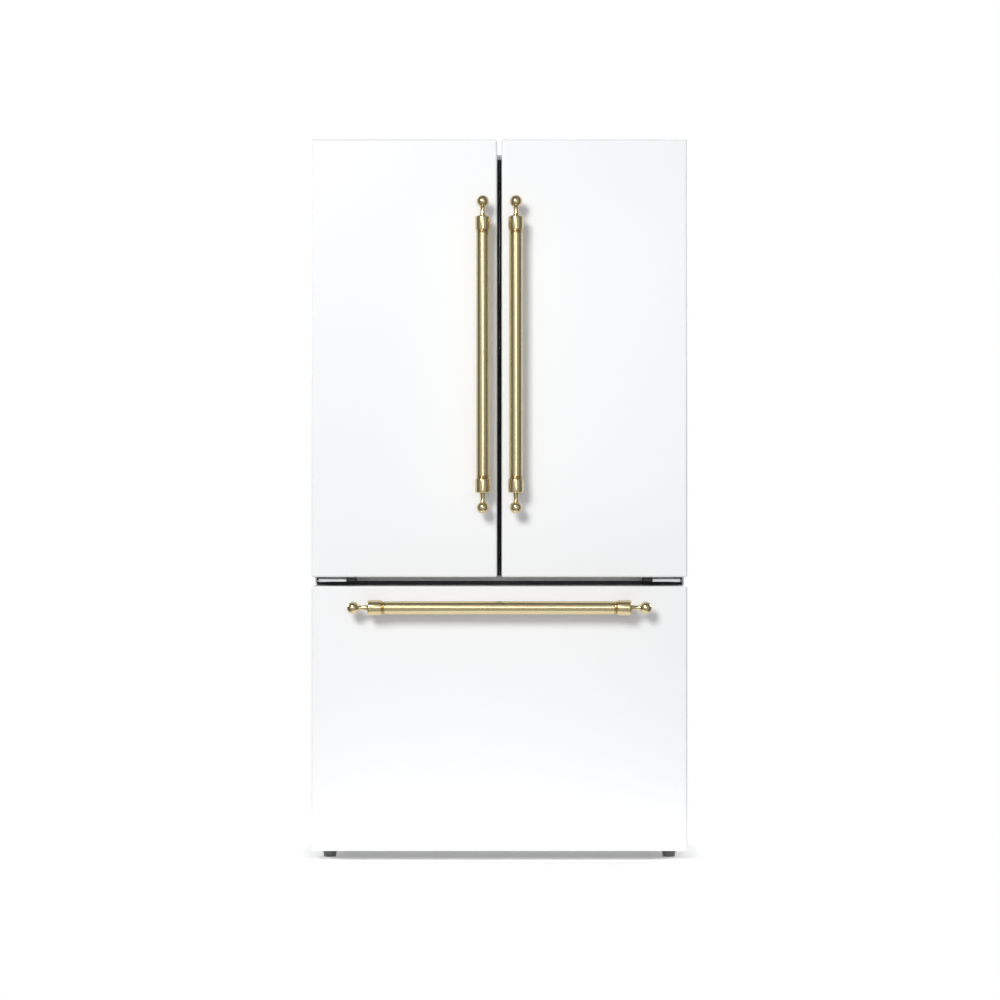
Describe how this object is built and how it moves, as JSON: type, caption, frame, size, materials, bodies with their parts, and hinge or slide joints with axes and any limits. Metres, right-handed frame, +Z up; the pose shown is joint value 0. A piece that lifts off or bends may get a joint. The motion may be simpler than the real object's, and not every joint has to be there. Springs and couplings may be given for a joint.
{
  "type": "french door refrigerator",
  "caption": "Freestanding french door refrigerator with a bottom freezer drawer, white enamel fronts and brass bar handles.",
  "frame": {"origin": "on the floor, under the centre of the overall box with the handles included", "axes": "+X to the right seen from the front, front faces -Y, +Z up"},
  "size_m": [0.91, 0.76, 1.75],
  "materials": {
    "white_enamel": "satin",
    "case_enamel": "satin",
    "white_liner": "satin",
    "white_mouldings": "satin",
    "clear_mouldings": "gloss",
    "polished_brass": "polished",
    "gasket_vinyl": "matte",
    "insulating_foam": "matte",
    "toughened_glass": "gloss",
    "zinc_steel": "satin",
    "black_steel": "satin",
    "black_nylon": "satin",
    "grey_nylon": "matte",
    "coil_aluminium": "satin",
    "grey_panel": "matte",
    "lamp_cover": "gloss",
    "panel_black": "gloss"
  },
  "bodies": {
    "cabinet": {"cabinet_wrapper": "case_enamel", "back_panel": "grey_panel", "insulation_foam": "insulating_foam", "fridge_liner": "white_liner", "freezer_liner": "white_liner", "base_frame": "black_steel", "levelling_feet": "grey_nylon", "machine_cover": "grey_panel", "rear_electrics": "black_nylon", "top_hinges": "zinc_steel", "hinge_covers": "case_enamel", "middle_hinges": "zinc_steel", "shelf_frames": "white_mouldings", "shelf_glass": "toughened_glass", "shelf_supports": "zinc_steel", "air_duct_panels": "white_mouldings", "light_covers": "lamp_cover", "control_panel": "panel_black", "evaporator": "coil_aluminium", "fan_housings": "black_nylon", "compressor": "black_steel", "condenser": "black_steel", "drain_pan": "black_nylon", "slide_outer_members": "zinc_steel"},
    "rear_rollers": {"rear_rollers": "grey_nylon"},
    "left_door": {"left_door_skin": "white_enamel", "left_door_foam": "insulating_foam", "left_door_bushes": "black_nylon", "left_door_liner": "white_liner", "left_door_gasket": "gasket_vinyl", "left_door_bins": "clear_mouldings", "left_handle_bar": "polished_brass", "left_handle_mounts": "polished_brass"},
    "mullion_flap": {"mullion_flap": "black_nylon"},
    "right_door": {"right_door_skin": "white_enamel", "right_door_foam": "insulating_foam", "right_door_bushes": "black_nylon", "right_door_liner": "white_liner", "right_door_gasket": "gasket_vinyl", "right_door_bins": "clear_mouldings", "right_handle_bar": "polished_brass", "right_handle_mounts": "polished_brass"},
    "dairy_lid": {"dairy_lid": "clear_mouldings"},
    "freezer_drawer": {"drawer_skin": "white_enamel", "drawer_foam": "insulating_foam", "drawer_liner": "white_liner", "drawer_gasket": "gasket_vinyl", "drawer_handle_bar": "polished_brass", "drawer_handle_mounts": "polished_brass", "slide_inner_members": "zinc_steel", "drawer_basket": "clear_mouldings"},
    "slide_middles": {"slide_middle_members": "zinc_steel"},
    "drawer_tray": {"drawer_tray": "clear_mouldings"},
    "left_crisper": {"left_crisper": "clear_mouldings"},
    "right_crisper": {"right_crisper": "clear_mouldings"},
    "left_humidity_slider": {"left_humidity_slider": "white_mouldings"},
    "right_humidity_slider": {"right_humidity_slider": "white_mouldings"},
    "deli_drawer": {"deli_drawer": "clear_mouldings"},
    "evaporator_fan": {"evaporator_fan": "black_nylon"},
    "condenser_fan": {"condenser_fan": "black_nylon"}
  },
  "joints": [
    {"name": "left_door_hinge", "type": "hinge", "parent": "cabinet", "child": "left_door", "pos_m": [-0.433, -0.277, 0.69], "axis": [0, 0, -1], "range_deg": [0, 125]},
    {"name": "right_door_hinge", "type": "hinge", "parent": "cabinet", "child": "right_door", "pos_m": [0.433, -0.277, 0.69], "axis": [0, 0, 1], "range_deg": [0, 125]},
    {"name": "mullion_flap_pivot", "type": "hinge", "parent": "left_door", "child": "mullion_flap", "pos_m": [-0.021, -0.22, 0.75425], "axis": [0, 0, -1], "range_deg": [0, 90]},
    {"name": "dairy_lid_hinge", "type": "hinge", "parent": "right_door", "child": "dairy_lid", "pos_m": [0.215, -0.225, 1.513], "axis": [1, 0, 0], "range_deg": [0, 85]},
    {"name": "freezer_drawer_slide", "type": "slide", "parent": "cabinet", "child": "freezer_drawer", "axis": [0, -1, 0], "range_m": [0, 0.38]},
    {"name": "slide_middles_travel", "type": "slide", "parent": "cabinet", "child": "slide_middles", "axis": [0, -1, 0], "range_m": [0, 0.19]},
    {"name": "drawer_tray_slide", "type": "slide", "parent": "freezer_drawer", "child": "drawer_tray", "axis": [0, 1, 0], "range_m": [0, 0.095]},
    {"name": "left_crisper_slide", "type": "slide", "parent": "cabinet", "child": "left_crisper", "axis": [0, -1, 0], "range_m": [0, 0.112]},
    {"name": "right_crisper_slide", "type": "slide", "parent": "cabinet", "child": "right_crisper", "axis": [0, -1, 0], "range_m": [0, 0.112]},
    {"name": "deli_drawer_slide", "type": "slide", "parent": "cabinet", "child": "deli_drawer", "axis": [0, -1, 0], "range_m": [0, 0.1]},
    {"name": "left_humidity_slide", "type": "slide", "parent": "cabinet", "child": "left_humidity_slider", "axis": [-1, 0, 0], "range_m": [0, 0.04]},
    {"name": "right_humidity_slide", "type": "slide", "parent": "cabinet", "child": "right_humidity_slider", "axis": [1, 0, 0], "range_m": [0, 0.04]},
    {"name": "evaporator_fan_spin", "type": "hinge", "parent": "cabinet", "child": "evaporator_fan", "pos_m": [0, 0.256, 0.56625], "axis": [0, 1, 0], "continuous": true},
    {"name": "condenser_fan_spin", "type": "hinge", "parent": "cabinet", "child": "condenser_fan", "pos_m": [0.06, 0.2835, 0.172], "axis": [-1, 0, 0], "continuous": true},
    {"name": "rear_rollers_spin", "type": "hinge", "parent": "cabinet", "child": "rear_rollers", "pos_m": [0, 0.335, 0.02], "axis": [1, 0, 0], "continuous": true}
  ],
  "couplings": [
    {"joint": "slide_middles_travel", "follows": "freezer_drawer_slide", "ratio": 0.5}
  ]
}
